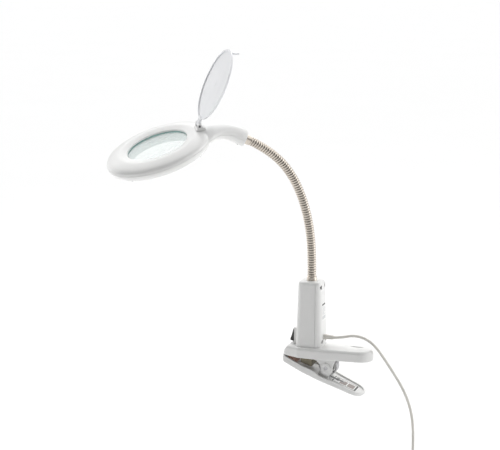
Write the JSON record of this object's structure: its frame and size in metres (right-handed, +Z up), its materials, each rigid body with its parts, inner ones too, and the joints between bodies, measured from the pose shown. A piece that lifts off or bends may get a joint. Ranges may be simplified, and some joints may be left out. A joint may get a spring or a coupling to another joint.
{
  "type": "clip-on magnifying lamp",
  "caption": "Clip-on magnifying work lamp: round lit lens with a hinged lid on a flexible gooseneck, a rocker-switched column and a sprung clip, with mains cord and plug.",
  "frame": {"origin": "where the tips of the two jaws meet, on the centre plane of the clip", "axes": "+Z up along the column; +X from the jaws to the handles and the cord outlet; +Y across the clip"},
  "size_m": [0.4669, 0.2176, 0.7219],
  "materials": {
    "white_abs": "glossy moulded plastic",
    "steel": "plain",
    "nickel_hose": "satin nickel plate",
    "black_plastic": "satin",
    "pink_rubber": "matt",
    "olive_rubber": "matt",
    "lens_glass": "polished",
    "white_frosted": "translucent",
    "grey_plastic": "plain",
    "board": "solder mask",
    "led_yellow": "phosphor",
    "label": "printed film",
    "cord_white": "soft vinyl",
    "plug_metal": "plated"
  },
  "bodies": {
    "stand": {"upper_lever": "white_abs", "pivot_pin": "steel", "torsion_spring": "steel", "upper_jaw_pad": "olive_rubber", "column_front_shell": "white_abs", "column_rear_cover": "white_abs", "column_screws": "steel", "clamp_screws": "steel", "switch_housing": "black_plastic", "strain_relief": "cord_white", "rating_label": "label", "driver_board": "board", "driver_transformer": "grey_plastic", "driver_capacitors": "grey_plastic", "cord_terminal": "grey_plastic", "base_ferrule": "nickel_hose", "hose_lock_nut": "steel", "hose_link_01": "nickel_hose", "cord_tube": "cord_white", "cord_coil": "cord_white", "cord_tail": "cord_white", "cord_tie": "cord_white", "plug_body": "cord_white", "plug_pins": "plug_metal"},
    "hose_02": {"hose_link_02": "nickel_hose"},
    "hose_03": {"hose_link_03": "nickel_hose"},
    "hose_04": {"hose_link_04": "nickel_hose"},
    "hose_05": {"hose_link_05": "nickel_hose"},
    "hose_06": {"hose_link_06": "nickel_hose"},
    "hose_07": {"hose_link_07": "nickel_hose"},
    "hose_08": {"hose_link_08": "nickel_hose"},
    "hose_09": {"hose_link_09": "nickel_hose"},
    "head": {"hose_link_10": "nickel_hose", "head_upper_shell": "white_abs", "head_lower_shell": "white_abs", "lens": "lens_glass", "lens_retainer": "grey_plastic", "led_board": "board", "leds": "led_yellow", "led_diffuser": "white_frosted", "hinge_bracket": "white_abs", "hinge_pin": "steel", "head_screws": "steel", "head_ferrule": "nickel_hose", "neck_set_screw": "steel"},
    "lid": {"lens_cover": "white_frosted"},
    "lower_jaw": {"lower_lever": "white_abs", "lower_jaw_pad": "pink_rubber", "handle_label": "label"},
    "rocker": {"switch_rocker": "black_plastic"}
  },
  "joints": [
    {"name": "lower_bend_1", "type": "hinge", "parent": "stand", "child": "hose_02", "pos_m": [0.02983, -0.00013, 0.136], "axis": [0.6046, -0.7965, 0], "range_deg": [-15, 12]},
    {"name": "sway_1", "type": "hinge", "parent": "hose_02", "child": "hose_03", "pos_m": [0.02896, -0.00079, 0.16097], "axis": [0.7946, 0.6031, 0.0698], "range_deg": [-12, 12]},
    {"name": "lower_bend_2", "type": "hinge", "parent": "hose_03", "child": "hose_04", "pos_m": [0.0267, -0.0025, 0.1858], "axis": [0.6046, -0.7965, 0], "range_deg": [-15, 12]},
    {"name": "sway_2", "type": "hinge", "parent": "hose_04", "child": "hose_05", "pos_m": [0.02265, -0.00558, 0.21027], "axis": [0.7712, 0.5853, 0.2504], "range_deg": [-12, 12]},
    {"name": "upper_bend_1", "type": "hinge", "parent": "hose_05", "child": "hose_06", "pos_m": [0.01666, -0.01012, 0.2341], "axis": [0.6046, -0.7965, 0], "range_deg": [-15, 12]},
    {"name": "sway_3", "type": "hinge", "parent": "hose_06", "child": "hose_07", "pos_m": [0.00841, -0.01639, 0.25683], "axis": [0.7, 0.5313, 0.4772], "range_deg": [-12, 12]},
    {"name": "upper_bend_2", "type": "hinge", "parent": "hose_07", "child": "hose_08", "pos_m": [-0.00263, -0.02477, 0.27759], "axis": [0.6046, -0.7965, 0], "range_deg": [-15, 12]},
    {"name": "sway_4", "type": "hinge", "parent": "hose_08", "child": "hose_09", "pos_m": [-0.01669, -0.03544, 0.29524], "axis": [0.5013, 0.3805, 0.7771], "range_deg": [-12, 12]},
    {"name": "upper_bend_3", "type": "hinge", "parent": "hose_09", "child": "head", "pos_m": [-0.03313, -0.04792, 0.30929], "axis": [0.6046, -0.7965, 0], "range_deg": [-15, 12]},
    {"name": "lid_hinge", "type": "hinge", "parent": "head", "child": "lid", "pos_m": [-0.1035, -0.09933, 0.34211], "axis": [-0.5143, 0.8321, 0.2077], "range_deg": [-133, 0]},
    {"name": "clamp_hinge", "type": "hinge", "parent": "stand", "child": "lower_jaw", "pos_m": [0.0578, 0, -0.013], "axis": [0, -1, 0], "range_deg": [0, 30], "stiffness_Nm_per_rad": 1, "springref_deg": -34.38, "deforming": ["torsion_spring"]},
    {"name": "rocker_hinge", "type": "hinge", "parent": "stand", "child": "rocker", "pos_m": [0.00643, 0, 0.028], "axis": [0, -1, 0], "range_deg": [0, 18]}
  ],
  "couplings": [
    {"joint": "lower_bend_2", "follows": "lower_bend_1", "ratio": 1},
    {"joint": "upper_bend_2", "follows": "upper_bend_1", "ratio": 1},
    {"joint": "upper_bend_3", "follows": "upper_bend_1", "ratio": 1},
    {"joint": "sway_2", "follows": "sway_1", "ratio": 1},
    {"joint": "sway_3", "follows": "sway_1", "ratio": 1},
    {"joint": "sway_4", "follows": "sway_1", "ratio": 1}
  ]
}
